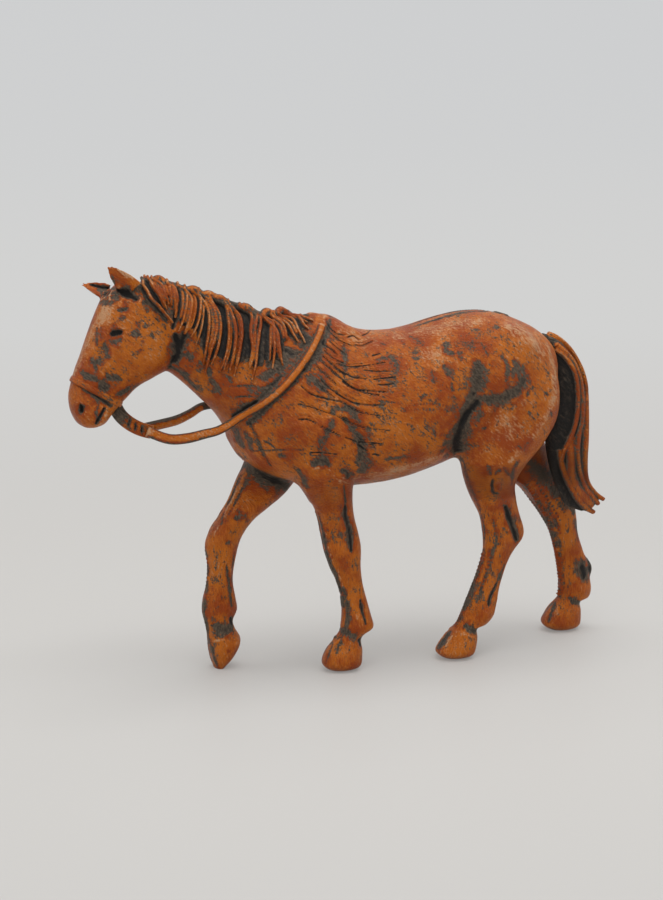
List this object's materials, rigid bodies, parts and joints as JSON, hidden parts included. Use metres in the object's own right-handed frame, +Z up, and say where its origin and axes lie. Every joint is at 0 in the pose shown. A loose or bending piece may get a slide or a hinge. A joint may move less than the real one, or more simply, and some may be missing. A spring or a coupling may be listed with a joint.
{
  "type": "toy farm horse",
  "caption": "Small moulded plastic farm horse, walking with its head low, with a noseband and reins; it stands on its hooves as a play or display figure.",
  "frame": {"origin": "on the ground, under the middle of the figure's bounding box", "axes": "-X is the way the horse walks, +Y points to its right side, +Z is up"},
  "size_m": [0.0846, 0.02, 0.0609],
  "materials": {
    "coat": "dark grey plastic brushed over with satin orange-brown paint, which leaves hollows and strokes dark",
    "hair": "dark grey plastic with orange-brown paint on the raised strands only, satin",
    "tack": "orange-brown paint over dark grey plastic, satin"
  },
  "bodies": {
    "root": {"left_body_half": "coat", "right_body_half": "coat", "head": "coat", "left_fore_leg": "coat", "right_fore_leg": "coat", "left_hind_leg": "coat", "right_hind_leg": "coat", "mane": "hair", "tail": "hair", "noseband": "tack", "rein_strap": "tack", "left_rein": "tack", "right_rein": "tack"}
  },
  "joints": []
}
